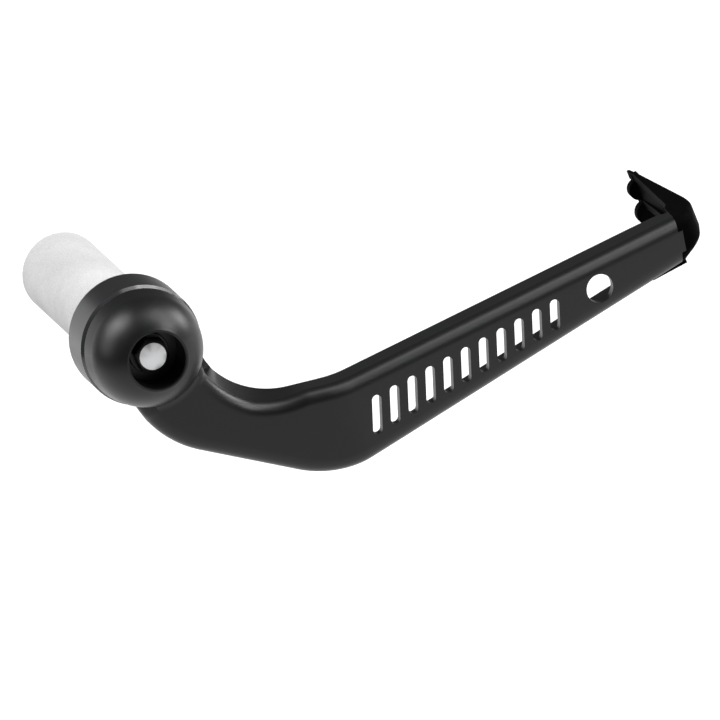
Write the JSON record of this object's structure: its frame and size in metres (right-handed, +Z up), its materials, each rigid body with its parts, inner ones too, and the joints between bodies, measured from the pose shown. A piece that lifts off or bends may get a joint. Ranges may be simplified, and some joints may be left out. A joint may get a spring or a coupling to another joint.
{
  "type": "brake lever guard",
  "caption": "Motorcycle brake lever guard: domed hub, cranked channel blade with cut-outs, hooked end tip, spacer collar, bolt and bar plug.",
  "frame": {"origin": "on the handlebar axis, in the plane of the bar's end face (the inboard face of the spacer collar)", "axes": "+Y inboard along the bar axis, +X forward along the blade, +Z up; outboard is -Y"},
  "size_m": [0.1565, 0.0895, 0.0655],
  "materials": {
    "moulding": "satin black moulded glass-filled nylon",
    "tip_black": "dark black moulded nylon",
    "collar_black": "satin black anodised",
    "plug_alloy": "bead-blasted",
    "bolt_alloy": "fine-ground"
  },
  "bodies": {
    "root": {"guard_arm": "moulding", "end_tip": "tip_black", "spacer_collar": "collar_black", "bar_insert": "plug_alloy", "clamp_bolt": "bolt_alloy", "bolt_washer": "collar_black"}
  },
  "joints": []
}
